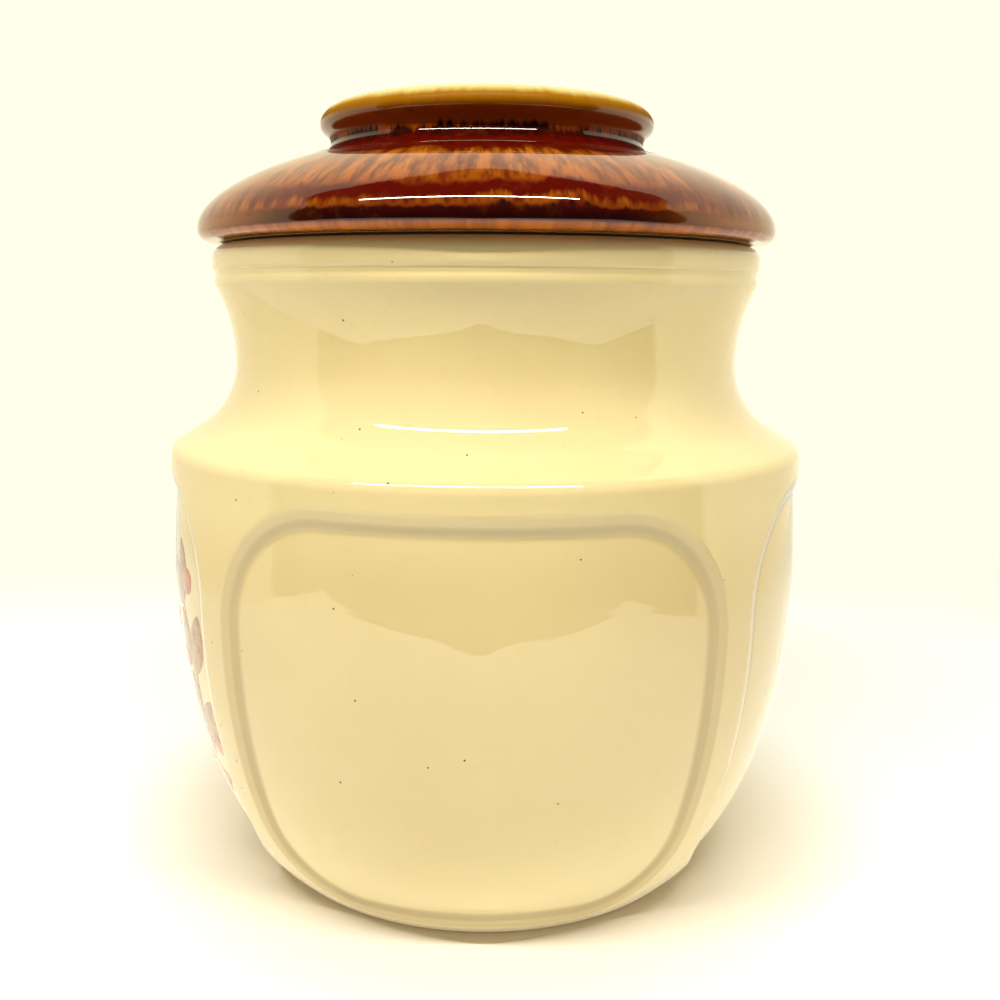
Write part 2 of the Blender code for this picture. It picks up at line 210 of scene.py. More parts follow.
def pooling_and_cove_shade(across, down):
    """How much a spot of the wall is darkened, most where a panel's border falls steeply: glaze pooling
    there, and painted shade of the sunk border.
    """
    share = border_share(across, down)
    gentle = min(max(share / POOL_SHADE_RUN, 0.0), 1.0) * POOL_SHADE_PLATEAU
    steep = min(max((share - COVE_KNEE) / POOL_SHADE_RUN, 0.0), 1.0) * (1 - POOL_SHADE_PLATEAU)
    return (gentle + steep) * (1 - min(max((share - 1) / POOL_SHADE_FADE, 0.0), 1.0))


def turned_to(p, turn):
    """A profile's point at an angle round the axis, a hair out of true as on any cast and dipped wall."""
    way = Vector((math.cos(turn), math.sin(turn), 0.0))
    q = way * p.x + Vector((0.0, 0.0, p.z))
    return q + way * UNEVENNESS * noise.noise(q * UNEVEN_SCALE)


def add_piece(name, mesh, body):
    """Puts a piece in the scene, on a CAD body."""
    piece = bpy.data.objects.new(name, mesh)
    bpy.context.scene.collection.objects.link(piece)
    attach(piece, body)
    return piece


def rings_to_mesh(name, rings, first_tip, last_tip):
    """A closed mesh from rings of equally many points, with a fan to a tip at each end."""
    bm = bmesh.new()
    grid = [[bm.verts.new(p) for p in ring] for ring in rings]
    first = bm.verts.new(first_tip)
    last = bm.verts.new(last_tip)
    count = len(grid[0])
    for j in range(count):
        k = (j + 1) % count
        bm.faces.new((first, grid[0][j], grid[0][k]))
        bm.faces.new((last, grid[-1][k], grid[-1][j]))
        for upper, lower in zip(grid, grid[1:]):
            bm.faces.new((upper[j], lower[j], lower[k], upper[k]))
    mesh = bpy.data.meshes.new(name)
    bm.to_mesh(mesh)
    bm.free()
    mesh.shade_smooth()
    return mesh


def finer_to_the_end(length, coarse, fine, fine_run):
    """Distances from nought to length, in coarse steps and then, over a last run, in fine ones."""
    start = length - fine_run
    few = math.ceil(start / coarse)
    many = math.ceil(fine_run / fine)
    first = [start * i / few for i in range(few)]
    return first + [start + fine_run * i / many for i in range(many + 1)]


half_face = BELLY_RADIUS * math.pi / PANELS
half_row = finer_to_the_end(half_face, WALL_STEP, COVE_STEP, SIDE_COVE_RUN)
face_row = [-a for a in reversed(half_row[1:-1])] + half_row
around = [(math.tau * i / PANELS + a / BELLY_RADIUS, a) for i in range(PANELS) for a in face_row]
half_way = wall_length / 2
top_run = finer_to_the_end(half_way, WALL_STEP, COVE_STEP, TOP_COVE_RUN)
foot_run = finer_to_the_end(half_way, WALL_STEP, COVE_STEP, FOOT_COVE_RUN)
downs = [half_way - d for d in reversed(top_run)] + [half_way + d for d in foot_run[1:-1]]


def wall_ring(down):
    p, out = on_wall(down)
    return [turned_to(p - out * panel_sink(across, down), turn) for turn, across in around]


inner_belly = []
for i in range(1, 30):
    p, out = on_wall(wall_length * i / 29)
    p = p - out * WALL
    if p.z > FLOOR_HEIGHT + FLOOR_CORNER_HEIGHT:
        inner_belly.insert(0, p)
corner_end = point(inner_belly[0].x - FLOOR_CORNER_RUN, FLOOR_HEIGHT)
heading = (inner_belly[0] - inner_belly[1]).normalized() * FLOOR_CORNER_HEIGHT / 2
side = SHOULDER_RADIUS - WALL
fall = WALL / math.cos(SHOULDER_SLOPE) - (slope_foot.x - side) * math.tan(SHOULDER_SLOPE)
inner_edge = point(
    side - INNER_EDGE_ROUND,
    slope_foot.z - fall - INNER_EDGE_ROUND * math.tan(slope_turn / 2),
)
neck_centre = point(NECK_RADIUS + NECK_SWEEP, neck_height)
inner_sweep = arc(neck_centre, NECK_SWEEP + WALL, math.pi + slope_turn, math.pi, 12)
bore_foot = point(mouth_radius, rim_height - BORE_DEPTH)
rise = point(0, (bore_foot.z - neck_height) / 2)
inside = joined(
    [point(20 * MM, FLOOR_HEIGHT)],
    curve(
        corner_end,
        corner_end + point(FLOOR_CORNER_RUN / 2, 0),
        inner_belly[0] + heading,
        inner_belly[0],
        10,
    ),
    inner_belly,
    arc(inner_edge, INNER_EDGE_ROUND, 0, slope_turn, 6),
    inner_sweep,
    curve(inner_sweep[-1], inner_sweep[-1] + rise, bore_foot - rise, bore_foot, 12),
)
band_bottom = point(band_radius - GROOVE_DEPTH / 2, band_foot + GROOVE_WIDTH / 2)
groove = point(band_radius - GROOVE_DEPTH - 0.15 * MM, band_foot - 0.1 * MM)
bead_top = point(flare_top.x + BEAD_SWELL / 2, flare_top.z + BEAD_HEIGHT)
bead = point(flare_top.x + BEAD_SWELL + 0.1 * MM, flare_top.z + BEAD_HEIGHT / 2)
mouth_edge = point(mouth_radius + MOUTH_EDGE_ROUND, rim_height - MOUTH_EDGE_ROUND)
shoulder_edge = point(SHOULDER_RADIUS - SHOULDER_EDGE_ROUND, SHOULDER_HEIGHT)
outside = joined(
    arc(mouth_edge, MOUTH_EDGE_ROUND, math.pi, QUARTER_TURN, 6),
    arc(point(band_radius - RIM_ROUND, rim_height - RIM_ROUND), RIM_ROUND, QUARTER_TURN, 0, 14),
    curve(
        point(band_radius, rim_height - RIM_ROUND),
        band_bottom + point(0.4 * MM, 1.2 * MM),
        band_bottom + point(0.15 * MM, 0.3 * MM),
        band_bottom,
        6,
    ),
    curve(band_bottom, band_bottom - point(0.2 * MM, 0.4 * MM), groove + point(0, 0.5 * MM), groove, 5),
    curve(groove, groove - point(0, 0.4 * MM), bead_top + point(-0.1 * MM, 0.3 * MM), bead_top, 4),
    curve(bead_top, bead_top + point(0.2 * MM, -0.5 * MM), bead + point(0, 0.6 * MM), bead, 5),
    curve(bead, bead - point(0, 0.8 * MM), flare_top + point(0.25 * MM, 0.5 * MM), flare_top, 5),
    arc(point(NECK_RADIUS + FLARE_SWEEP, neck_height), FLARE_SWEEP, math.pi - FLARE_ANGLE, math.pi, 24),
    arc(neck_centre, NECK_SWEEP, math.pi, math.pi + slope_turn, 24),
    arc(shoulder_edge, SHOULDER_EDGE_ROUND, slope_turn, 0, 12),
)
ring_outer = FOOT_EDGE_RADIUS - FOOT_CHAMFER
ring_inner = ring_outer - FOOT_RING_WIDTH
underneath = joined(
    curve(
        foot_edge,
        foot_edge - point(0.9 * MM, 0.8 * MM),
        point(ring_outer + 0.5 * MM, 0),
        point(ring_outer, 0),
        4,
    ),
    [point(ring_inner + 0.4 * MM, 0)],
    [point(ring_inner, 0.4 * MM)],
    [point(ring_inner - 1.2 * MM, FOOT_RECESS_DEPTH - 0.4 * MM)],
    [point(ring_inner - 1.8 * MM, FOOT_RECESS_DEPTH)],
    [point(30 * MM, FOOT_RECESS_DEPTH)],
)
above_wall = resampled(inside, INSIDE_STEP) + resampled(outside, OUTSIDE_STEP)
rings = [[turned_to(p, turn) for turn, _ in around] for p in above_wall]
neither_pooled_nor_shaded = [0.0] * len(rings) * len(around)
rings += [wall_ring(down) for down in downs[1:]]
pooled_and_shaded = neither_pooled_nor_shaded + [pooling_and_cove_shade(across, down) for down in downs[1:] for _, across in around]
rings += [[turned_to(p, turn) for turn, _ in around] for p in underneath]
jar_mesh = rings_to_mesh("glazed_jar", rings, point(0, FLOOR_HEIGHT), point(0, FOOT_RECESS_DEPTH))
pool_and_shade = jar_mesh.attributes.new("pooled_and_shaded", "FLOAT", "POINT")
pool_and_shade.data.foreach_set("value", pooled_and_shaded + [0.0] * (len(jar_mesh.vertices) - len(pooled_and_shaded)))
glazed_jar = add_piece("glazed_jar", jar_mesh, "jar_body")
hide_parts("jar")


class Graph:
    """Adds nodes to a material's or world's node tree."""

    def __init__(self, tree):
        self.tree = tree

    def add(self, kind, inputs=None, **settings):
        node = self.tree.nodes.new(kind)
        for name, value in settings.items():
            setattr(node, name, value)
        for name, value in (inputs or {}).items():
            self.set(node.inputs[name], value)
        return node

    def set(self, socket, value):
        if isinstance(value, bpy.types.NodeSocket):
            self.tree.links.new(value, socket)
        else:
            socket.default_value = value

    def math(self, operation, a, b=0.0):
        return self.add("ShaderNodeMath", {0: a, 1: b}, operation=operation).outputs[0]

    def ramp(self, value, low, high, start=0.0, end=1.0):
        """A soft step from start to end while the value goes from low to high."""
        inputs = {"Value": value, "From Min": low, "From Max": high, "To Min": start, "To Max": end}
        return self.add("ShaderNodeMapRange", inputs, interpolation_type="SMOOTHSTEP").outputs[0]

    def product(self, a, b):
        return self.math("MULTIPLY", a, b)

    def mix(self, factor, a, b):
        node = self.add("ShaderNodeMix", data_type="RGBA")
        self.set(node.inputs["Factor"], factor)
        self.set(node.inputs[6], a)
        self.set(node.inputs[7], b)
        return node.outputs[2]

    def noise(self, vector, scale, detail=2.0, roughness=0.5):
        inputs = {"Vector": vector, "Scale": scale, "Detail": detail, "Roughness": roughness}
        return self.add("ShaderNodeTexNoise", inputs).outputs["Fac"]

    def bands(self, value, stops):
        """The colour that a value stands for, between stops of a value and a colour."""
        low = stops[0][0]
        high = stops[-1][0]
        span = self.add("ShaderNodeMapRange", {"Value": value, "From Min": low, "From Max": high})
        node = self.add("ShaderNodeValToRGB", {"Fac": span.outputs[0]})
        elements = node.color_ramp.elements
        elements.remove(elements[1])
        elements[0].position = 0.0
        elements[0].color = (*stops[0][1], 1)
        for at, colour in stops[1:]:
            elements.new((at - low) / (high - low)).color = (*colour, 1)
        return node.outputs[0]


def new_material(name):
    """A material with a Principled shader, and the graph and shader to build it with."""
    material = bpy.data.materials.new(name)
    material.use_nodes = True
    return material, Graph(material.node_tree), material.node_tree.nodes["Principled BSDF"]


def glassy(shader, coat_ior):
    """Makes a shader's surface one of coloured glass over clay: all of its gloss is in the coat."""
    shader.inputs["Roughness"].default_value = 0.5
    shader.inputs["Specular IOR Level"].default_value = 0.0
    shader.inputs["Coat Weight"].default_value = 1.0
    shader.inputs["Coat Roughness"].default_value = 0.02
    shader.inputs["Coat IOR"].default_value = coat_ior


CREAM_IOR = 1.55
CREAM_DEEP = (0.63, 0.51, 0.275, 1)
CREAM_PALE = (0.665, 0.545, 0.30, 1)
CREAM_MOTTLE = (0.58, 0.45, 0.21, 1)
PAINTED_SHADE_ON_BELLY = (0.36, 0.20, 0.04, 1)
PAINTED_LIGHT_ON_NECK = (0.92, 0.73, 0.27, 1)
IRON_SPECK = (0.015, 0.009, 0.005, 1)
SPECK_SCALE = 210
POOLED_AND_SHADED_CREAM = (0.33, 0.245, 0.12, 1)
BARE_CLAY = (0.58, 0.44, 0.28, 1)
material, g, shader = new_material("cream_glaze")
glassy(shader, CREAM_IOR)
place = g.add("ShaderNodeTexCoord").outputs["Object"]
height = g.add("ShaderNodeSeparateXYZ", {"Vector": place}).outputs[2]
cloud = g.noise(place, 14, 3)
tone = g.mix(g.ramp(cloud, 0.35, 0.65), CREAM_DEEP, CREAM_PALE)
# The belly is painted a little darker and the neck paler: painted shade and painted light that even out how
# the lamp and fill fall on them.
belly_shade = g.product(g.ramp(height, 18 * MM, 52 * MM), g.ramp(height, 108 * MM, 126 * MM, 0.12, 0))
tone = g.mix(belly_shade, tone, PAINTED_SHADE_ON_BELLY)
neck_light = g.product(g.ramp(height, 150 * MM, 165 * MM), g.ramp(height, 178 * MM, 186 * MM, 0.13, 0))
tone = g.mix(neck_light, tone, PAINTED_LIGHT_ON_NECK)
fine = g.noise(place, 260, 4, 0.6)
tone = g.mix(g.ramp(fine, 0.55, 0.8, 0, 0.25), tone, CREAM_MOTTLE)
cells = g.add("ShaderNodeTexVoronoi", {"Vector": place, "Scale": SPECK_SCALE})
chance = g.add("ShaderNodeSeparateColor", {"Color": cells.outputs["Color"]}).outputs[0]
grain = g.product(g.ramp(cells.outputs["Distance"], 0.045, 0.08, 1, 0), g.math("GREATER_THAN", chance, 0.86))
tone = g.mix(g.product(grain, 0.95), tone, IRON_SPECK)
# The sunk borders are darkened by a mesh attribute: glaze pooling there, and painted shade of the cove.
pooled_and_shaded = g.add("ShaderNodeAttribute", attribute_name="pooled_and_shaded").outputs["Fac"]
tone = g.mix(g.product(pooled_and_shaded, 0.55), tone, POOLED_AND_SHADED_CREAM)
glazed = g.ramp(g.math("ADD", height, g.product(cloud, 0.4 * MM)), 0.7 * MM, 0.9 * MM)
g.set(shader.inputs["Base Color"], g.mix(glazed, BARE_CLAY, tone))
g.set(shader.inputs["Coat Weight"], glazed)
ripple = g.add("ShaderNodeBump", {"Height": g.noise(place, 60, 2), "Strength": 0.12, "Distance": 0.4 * MM})
g.set(shader.inputs["Coat Normal"], ripple.outputs[0])
jar_mesh.materials.append(material)

# The painted panel
# The panel that faces -X carries a plain spray of leaves, berries and blossoms, brushed in brown, olive and
# terracotta under the clear glaze. Each colour is one thin print that follows the panel's floor.
PRINT_EDGE = -0.06 * MM
STEM_HALF = 1.3 * MM
LEAF_LENGTH = 27.0 * MM
LEAF_HALF = 6.5 * MM
BERRY_RADIUS = 4.6 * MM
PETAL_LENGTH = 14.0 * MM
PETAL_HALF = 5.6 * MM
BLOSSOM_EYE = 3.2 * MM
CORNER_BLOSSOM_DOWN = 70
TWIG_HALF = 0.45 * MM
BERRY_ASIDE = 8.5 * MM


def brushed(start, start_handle, end_handle, end, half_width, count=14, round_tip=False):
    """A brush mark: spots on its middle line, given in mm across and down, and half its width at each."""
    line = curve(*[Vector((x * MM, y * MM, 0.0)) for x, y in (start, start_handle, end_handle, end)], count)
    widths = []
    for i in range(count + 1):
        share = i / count
        if round_tip:
            swell = math.sqrt(max(1 - (2 * share - 1) ** 2, 0.0))
        else:
            swell = math.sin(math.pi * share) ** 0.8
        widths.append(max(half_width * swell, 0.04 * MM))
    return line, widths


def stroke(at, angle, length, half_width, bow=0.0, round_tip=False):
    """A short brush mark from a spot, at an angle, with its middle bowed to one side."""
    way = Vector((math.cos(angle), math.sin(angle)))
    side = Vector((-way.y, way.x)) * bow
    spots = [at, at + way * length / 3 + side, at + way * length * 2 / 3 + side, at + way * length]
    return brushed(*[(p.x / MM, p.y / MM) for p in spots], half_width, round_tip=round_tip)


def dot(middle, radius):
    """A round brush mark."""
    return stroke(middle - Vector((radius, 0)), 0.0, 2 * radius, radius, round_tip=True)


def print_mesh(name, marks, facing, lift):
    """Thin sheets that lie on a panel, one for each mark, with their edges let into the glaze."""
    vertices = []
    faces = []
    for line, widths in marks:
        first = len(vertices)
        for i, spot in enumerate(line):
            way = (line[min(i + 1, len(line) - 1)] - line[max(i - 1, 0)]).normalized()
            for j in range(-3, 4):
                across = spot.x - way.y * widths[i] * j / 3
                down = spot.y + way.x * widths[i] * j / 3
                at_edge = abs(j) == 3 or i in (0, len(line) - 1)
                p, out = on_wall(down)
                p = p + out * ((PRINT_EDGE if at_edge else lift) - panel_sink(across, down))
                vertices.append(turned_to(p, facing + across / BELLY_RADIUS))
        for i in range(len(line) - 1):
            for j in range(6):
                a = first + 7 * i + j
                faces.append((a, a + 1, a + 8, a + 7))
    mesh = bpy.data.meshes.new(name)
    mesh.from_pydata(vertices, [], faces)
    mesh.shade_smooth()
    return mesh


stems = []
leaves = []
berries = []
petals = []
eyes = []
for hand in (-1, 1):
    path = [(4, 120), (60, 124), (82, 38), (28, 26)]
    line, widths = brushed(*[(x * hand, y) for x, y in path], 1.0, count=60)
    stems.append((line, [min(w / MM, 1.0) * STEM_HALF for w in widths]))
    for i in range(7, 58, 10):
        way = line[i + 1] - line[i - 1]
        heading = math.atan2(way.y, way.x)
        length = LEAF_LENGTH * (1 - 0.005 * i)
        for turn in (-0.4, 0.4):
            leaves.append(stroke(line[i].xy, heading + turn, length, LEAF_HALF, 1.6 * MM * turn))
        aside = Vector((-way.y, way.x)).normalized() * (BERRY_ASIDE * (1 if i % 20 == 7 else -1))
        berries.append(dot(line[i + 2].xy + aside, BERRY_RADIUS))
        stems.append(stroke(line[i + 2].xy, math.atan2(aside.y, aside.x), aside.length, TWIG_HALF))
for x, y, turned_by in ((0, 64, 0.2), (-47, 92, 0.9), (47, 94, 0.5), (-26, 46, 0.7), (27, 48, 0.1)):
    middle = Vector((x, y)) * MM
    for i in range(5):
        angle = math.tau * i / 5 + turned_by
        at = middle + Vector((math.cos(angle), math.sin(angle))) * BLOSSOM_EYE * 0.8
        petals.append(stroke(at, angle, PETAL_LENGTH, PETAL_HALF, round_tip=True))
    eyes.append(dot(middle, BLOSSOM_EYE))
    if y < CORNER_BLOSSOM_DOWN:
        stems.append(brushed((x, y), (x * 0.7, y + 20), (x * 0.3, 112), (0, 122), STEM_HALF))


def add_print(name, marks, lift, paler, thick):
    """A print in one colour, thin and pale in places and thick in others."""
    mesh = print_mesh(name, marks, math.pi, lift)
    material, g, shader = new_material(name)
    glassy(shader, CREAM_IOR)
    place = g.add("ShaderNodeTexCoord").outputs["Object"]
    g.set(shader.inputs["Base Color"], g.mix(g.ramp(g.noise(place, 240, 3, 0.6), 0.38, 0.62), paler, thick))
    mesh.materials.append(material)
    add_piece(name, mesh, "jar_body")


add_print("painted_stems", stems, 0.04 * MM, (0.34, 0.13, 0.035, 1), (0.20, 0.065, 0.015, 1))
add_print("painted_leaves", leaves, 0.08 * MM, (0.38, 0.20, 0.045, 1), (0.25, 0.115, 0.024, 1))
add_print("painted_berries", berries, 0.12 * MM, (0.50, 0.16, 0.06, 1), (0.34, 0.09, 0.03, 1))
add_print("painted_petals", petals, 0.16 * MM, (0.60, 0.30, 0.15, 1), (0.46, 0.19, 0.085, 1))
add_print("painted_eyes", eyes, 0.20 * MM, (0.46, 0.27, 0.07, 1), (0.32, 0.15, 0.03, 1))

# The lid
# One slip-cast piece with a wide disc knob, hollow below, in a running brown and amber glaze that breaks
# to gold on the knob's edge. It is painted almost black round the lip's widest ring and round the knob's
# neck, painted shade and a painted reflection of the dark room in front. It rests on the rim, centred by a
# ring.
SEAT_GAP = 0.3 * MM
LID_OVERHANG = 4.05 * MM
LIP_RELIEF = 0.6 * MM
LIP_ROUND = 3.3 * MM
DOME_RISE = 23.8 * MM
DOME_SIDE_FULLNESS = 9.4 * MM
DOME_TOP_FULLNESS = 23.0 * MM
DOME_TOP_ANGLE = math.radians(13.0)
LID_THICKNESS = 5.6 * MM
LOCATING_RING_DEPTH = 8.0 * MM
LOCATING_RING_WIDTH = 4.6 * MM
LOCATING_CLEARANCE = 1.5 * MM
LOCATING_ROUND = 1.2 * MM
KNOB_NECK_RADIUS = 48.8 * MM
KNOB_NECK_HEIGHT = 3.4 * MM
KNOB_SWELL = 3.2 * MM
KNOB_FLARE_HEIGHT = 5.2 * MM
KNOB_EDGE_HEIGHT = 5.0 * MM
KNOB_EDGE_RUN = 5.6 * MM
KNOB_DISH_DEPTH = 0.8 * MM
NECK_FILLET = 4.4 * MM
LID_STEPS = 320
LID_RING_STEP = 1.8 * MM
seat = rim_height + SEAT_GAP
lid_edge = point(band_radius + LID_OVERHANG, seat + LIP_RELIEF + LIP_ROUND)
dome_top = point(KNOB_NECK_RADIUS, lid_edge.z + DOME_RISE)
knob_neck_top = dome_top.z + KNOB_NECK_HEIGHT
knob_edge = point(KNOB_NECK_RADIUS + KNOB_SWELL, knob_neck_top + KNOB_FLARE_HEIGHT)
knob_rim = point(knob_edge.x - KNOB_EDGE_RUN, knob_edge.z + KNOB_EDGE_HEIGHT)
dome = curve(
    lid_edge,
    lid_edge + point(0, DOME_SIDE_FULLNESS),
    dome_top + point(math.cos(DOME_TOP_ANGLE), -math.sin(DOME_TOP_ANGLE)) * DOME_TOP_FULLNESS,
    dome_top,
    70,
)
under_dome = []
for a, b in zip(dome, dome[1:]):
    way = (b - a).normalized()
    p = (a + b) / 2 + Vector((-way.z, 0.0, way.x)) * LID_THICKNESS
    if KNOB_NECK_RADIUS - LID_THICKNESS < p.x < mouth_radius - LOCATING_CLEARANCE - LOCATING_RING_WIDTH:
        under_dome.append(p)
dome = [p for p in dome if p.x > KNOB_NECK_RADIUS + NECK_FILLET]
fillet_top = point(KNOB_NECK_RADIUS, knob_neck_top)
neck_fillet = curve(
    dome[-1],
    dome[-1] + (dome[-1] - dome[-2]).normalized() * NECK_FILLET * 0.6,
    fillet_top - point(0, NECK_FILLET * 0.6),
    fillet_top,
    10,
)
ring_out = mouth_radius - LOCATING_CLEARANCE
ring_in = ring_out - LOCATING_RING_WIDTH
ring_foot = seat - LOCATING_RING_DEPTH
outer_round = point(ring_out - LOCATING_ROUND, ring_foot + LOCATING_ROUND)
inner_round = point(ring_in + LOCATING_ROUND, ring_foot + LOCATING_ROUND)
bore = KNOB_NECK_RADIUS - LID_THICKNESS
dish = knob_rim.z - KNOB_DISH_DEPTH
ceiling = dish - LID_THICKNESS
corner_square = point(bore, ceiling)
lid_profile = joined(
    [point(12 * MM, dish)],
    curve(
        point(26 * MM, dish),
        point(36 * MM, dish),
        knob_rim - point(4.5 * MM, 0.1 * MM),
        knob_rim,
        12,
    ),
    curve(
        knob_rim,
        knob_rim + point(KNOB_EDGE_RUN / 2, 0),
        knob_edge + point(0, KNOB_EDGE_HEIGHT / 2),
        knob_edge,
        16,
    ),
    curve(
        knob_edge,
        knob_edge - point(0, KNOB_FLARE_HEIGHT / 2),
        point(KNOB_NECK_RADIUS, knob_neck_top + KNOB_FLARE_HEIGHT / 2),
        point(KNOB_NECK_RADIUS, knob_neck_top),
        14,
    ),
    reversed(neck_fillet),
    reversed(dome),
    arc(lid_edge - point(LIP_ROUND, 0), LIP_ROUND, 0, -QUARTER_TURN, 12),
    [point(ring_out + 0.7 * MM, seat + 0.05 * MM)],
    [point(ring_out, seat - 0.6 * MM)],
    arc(outer_round, LOCATING_ROUND, 0, -QUARTER_TURN, 4),
    arc(inner_round, LOCATING_ROUND, -QUARTER_TURN, -math.pi, 4),
    [point(ring_in, under_dome[0].z - 2 * LOCATING_ROUND)],
    [point(ring_in - 0.3 * MM, under_dome[0].z - LOCATING_ROUND)],
    under_dome[1:],
    curve(
        point(bore, dome_top.z - LID_THICKNESS + 2 * MM),
        corner_square - point(0, 2 * MM),
        corner_square - point(2 * MM, 0),
        corner_square - point(2 * LID_THICKNESS, 0),
        8,
    ),
    [point(12 * MM, ceiling)],
)
turns = [math.tau * i / LID_STEPS for i in range(LID_STEPS)]
lid_rings = [[turned_to(p, turn) for turn in turns] for p in resampled(lid_profile, LID_RING_STEP)]
lid_mesh = rings_to_mesh("glazed_lid", lid_rings, point(0, dish), point(0, ceiling))
glazed_lid = add_piece("glazed_lid", lid_mesh, "lid_body")
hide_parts("lid")

PAINTED_BLACK_SHADE = (0.014, 0.001, 0.001)
DARK_RED = (0.062, 0.002, 0.0004)
AMBER = (0.24, 0.055, 0.003)
TAN = (0.30, 0.082, 0.004)
UMBER = (0.34, 0.055, 0.004)
OLIVE = (0.17, 0.042, 0.001)
OCHRE = (0.22, 0.08, 0.001)
GOLD = (0.26, 0.112, 0.002)
LIP_AMBER = (0.40, 0.10, 0.003)
# The pale top of the knob's rim is pale thin glaze with a painted highlight: the lamp's glare is painted in,
# and the coat's gloss is turned down there.
PALE_GOLD_HIGHLIGHT = (0.52, 0.43, 0.18)
BROWN_IOR = 1.45
STREAK_SHIFT = 8
DRIP_SHIFT = 5
material, g, shader = new_material("brown_glaze")
glassy(shader, BROWN_IOR)
place = g.add("ShaderNodeTexCoord").outputs["Object"]
x, y, z = g.add("ShaderNodeSeparateXYZ", {"Vector": place}).outputs
radius = g.math("SQRT", g.math("ADD", g.product(x, x), g.product(y, y)))
around_x = g.math("DIVIDE", x, radius)
around_y = g.math("DIVIDE", y, radius)
down_slope = g.product(g.math("SUBTRACT", radius, z), 2.2)
polar = g.add("ShaderNodeCombineXYZ", {"X": around_x, "Y": around_y, "Z": down_slope}).outputs[0]
streaks = g.math("SUBTRACT", g.noise(polar, 5, 4, 0.6), 0.5)
drips = g.math("SUBTRACT", g.noise(polar, 28, 3, 0.6), 0.5)
mottle = g.noise(place, 190, 5, 0.65)
shifted = g.math("ADD", g.product(streaks, STREAK_SHIFT), g.product(drips, DRIP_SHIFT))
clear_of_lip = g.ramp(z, lid_edge.z, lid_edge.z + 4 * MM, 0.05, 1)
clear_of_knob = g.ramp(z, knob_neck_top, knob_edge.z, 1, 0.2)
above_seat = g.math("DIVIDE", g.math("SUBTRACT", z, seat), MM)
level = g.math("ADD", above_seat, g.product(shifted, g.product(clear_of_lip, clear_of_knob)))
# The near-black bands, round the lip's widest ring and round the knob's neck, are painted shade and a
# painted reflection of the dark room in front.
lid_bands = [
    (-9.0, LIP_AMBER),
    (2.3, LIP_AMBER),
    (2.8, PAINTED_BLACK_SHADE),
    (5.7, PAINTED_BLACK_SHADE),
    (6.5, AMBER),
    (7.4, AMBER),
    (8.6, DARK_RED),
    (11.0, DARK_RED),
    (12.3, AMBER),
    (14.8, TAN),
    (20.4, TAN),
    (22.2, DARK_RED),
    (25.6, DARK_RED),
    (27.2, PAINTED_BLACK_SHADE),
    (30.2, PAINTED_BLACK_SHADE),
    (31.8, UMBER),
    (34.2, UMBER),
    (35.6, OLIVE),
    (37.0, OCHRE),
    (38.6, GOLD),
    (40.4, PALE_GOLD_HIGHLIGHT),
    (42.0, PALE_GOLD_HIGHLIGHT),
]
tone = g.bands(level, lid_bands)
dark_red = (*DARK_RED, 1)
amber = (*AMBER, 1)
# Towards the left and right, away from the front and back, the lower dome and the lip are painted a paler
# tan: painted light from the paper at the sides.
side_light = g.math("SUBTRACT", 0.7, g.product(g.ramp(g.math("ABSOLUTE", around_y), 0.62, 0.92), 0.7))
paler = g.product(g.product(g.ramp(level, 2.3, 3.0), g.ramp(level, 12.4, 10.5)), side_light)
tone = g.mix(paler, tone, (*TAN, 1))
run_down = g.product(g.ramp(above_seat, 4, 7), g.ramp(above_seat, 31, 27))
run_down = g.math("MAXIMUM", run_down, g.ramp(above_seat, 3.2, 2.4, 0, 0.5))
tone = g.mix(g.product(run_down, g.ramp(drips, -0.16, 0.16, 0, 0.85)), tone, dark_red)
tone = g.mix(g.product(run_down, g.ramp(streaks, -0.06, 0.18, 0, 0.8)), tone, dark_red)
tone = g.mix(g.ramp(mottle, 0.50, 0.75, 0, 0.12), tone, amber)
knob_top = g.product(g.ramp(radius, 43 * MM, 40 * MM), g.ramp(z, knob_edge.z, knob_rim.z - MM))
tone = g.mix(knob_top, tone, g.mix(g.ramp(mottle, 0.42, 0.6), dark_red, amber))
by_seat = g.ramp(z, seat + 0.35 * MM, seat + 0.45 * MM, 1, 0)
seat_clay = g.product(by_seat, g.ramp(radius, ring_in, ring_in + MM))
g.set(shader.inputs["Base Color"], g.mix(seat_clay, tone, BARE_CLAY))
on_fillet = g.product(g.ramp(above_seat, 24.3, 25.2), g.ramp(above_seat, 29.3, 28.6, 0, 0.88))
under_knob = g.product(g.ramp(above_seat, 30.0, 30.5), g.ramp(above_seat, 33, 32, 0, 0.8))
matt = g.math("SUBTRACT", 1.0, g.math("ADD", on_fillet, under_knob))
gloss = g.product(g.ramp(above_seat, 36, 37.5, 1, 0.06), matt)
g.set(shader.inputs["Coat Weight"], g.math("SUBTRACT", gloss, seat_clay))
g.set(shader.inputs["Coat Roughness"], g.ramp(above_seat, 35.5, 38, 0.02, 0.3))
ripple = g.add("ShaderNodeBump", {"Height": g.noise(polar, 12, 2), "Strength": 0.10, "Distance": 0.5 * MM})
g.set(shader.inputs["Coat Normal"], ripple.outputs[0])
lid_mesh.materials.append(material)

